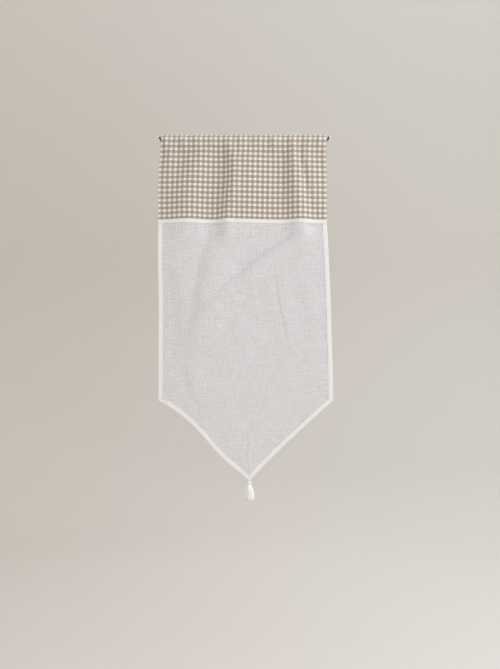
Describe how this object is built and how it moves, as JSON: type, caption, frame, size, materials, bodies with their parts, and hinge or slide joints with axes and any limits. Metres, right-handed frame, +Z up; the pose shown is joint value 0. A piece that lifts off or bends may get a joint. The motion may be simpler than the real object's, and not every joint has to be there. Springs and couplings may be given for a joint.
{
  "type": "cafe curtain with rod",
  "caption": "Pointed cafe curtain hanging on a thin rod: a checked cotton panel over a sheer panel that ends in a V, with taped edges and a tassel at the point.",
  "frame": {"origin": "centre of the left bracket's back face, where it lies on the window sash, level with the rod's axis", "axes": "+X to the right along the rod as seen from the room, +Y back into the sash, +Z up"},
  "size_m": [0.606, 0.0325, 1.2598],
  "materials": {
    "checked_cotton": "plain weave cotton, taupe and white gingham checks",
    "sheer_linen": "slubby sheer linen-look voile",
    "white_tape": "matt woven cotton tape",
    "cotton_yarn": "matt twisted cotton yarn",
    "satin_nickel": "satin",
    "dark_steel": "dark bronze paint"
  },
  "bodies": {
    "root": {"checked_panel": "checked_cotton", "sheer_panel": "sheer_linen", "join_band": "white_tape", "side_binding_left": "white_tape", "side_binding_right": "white_tape", "slant_binding_left": "white_tape", "slant_binding_right": "white_tape", "tassel": "cotton_yarn", "rod": "satin_nickel", "rod_knob_left": "satin_nickel", "rod_knob_right": "satin_nickel", "rod_bracket_left": "dark_steel", "rod_bracket_right": "dark_steel"}
  },
  "joints": []
}
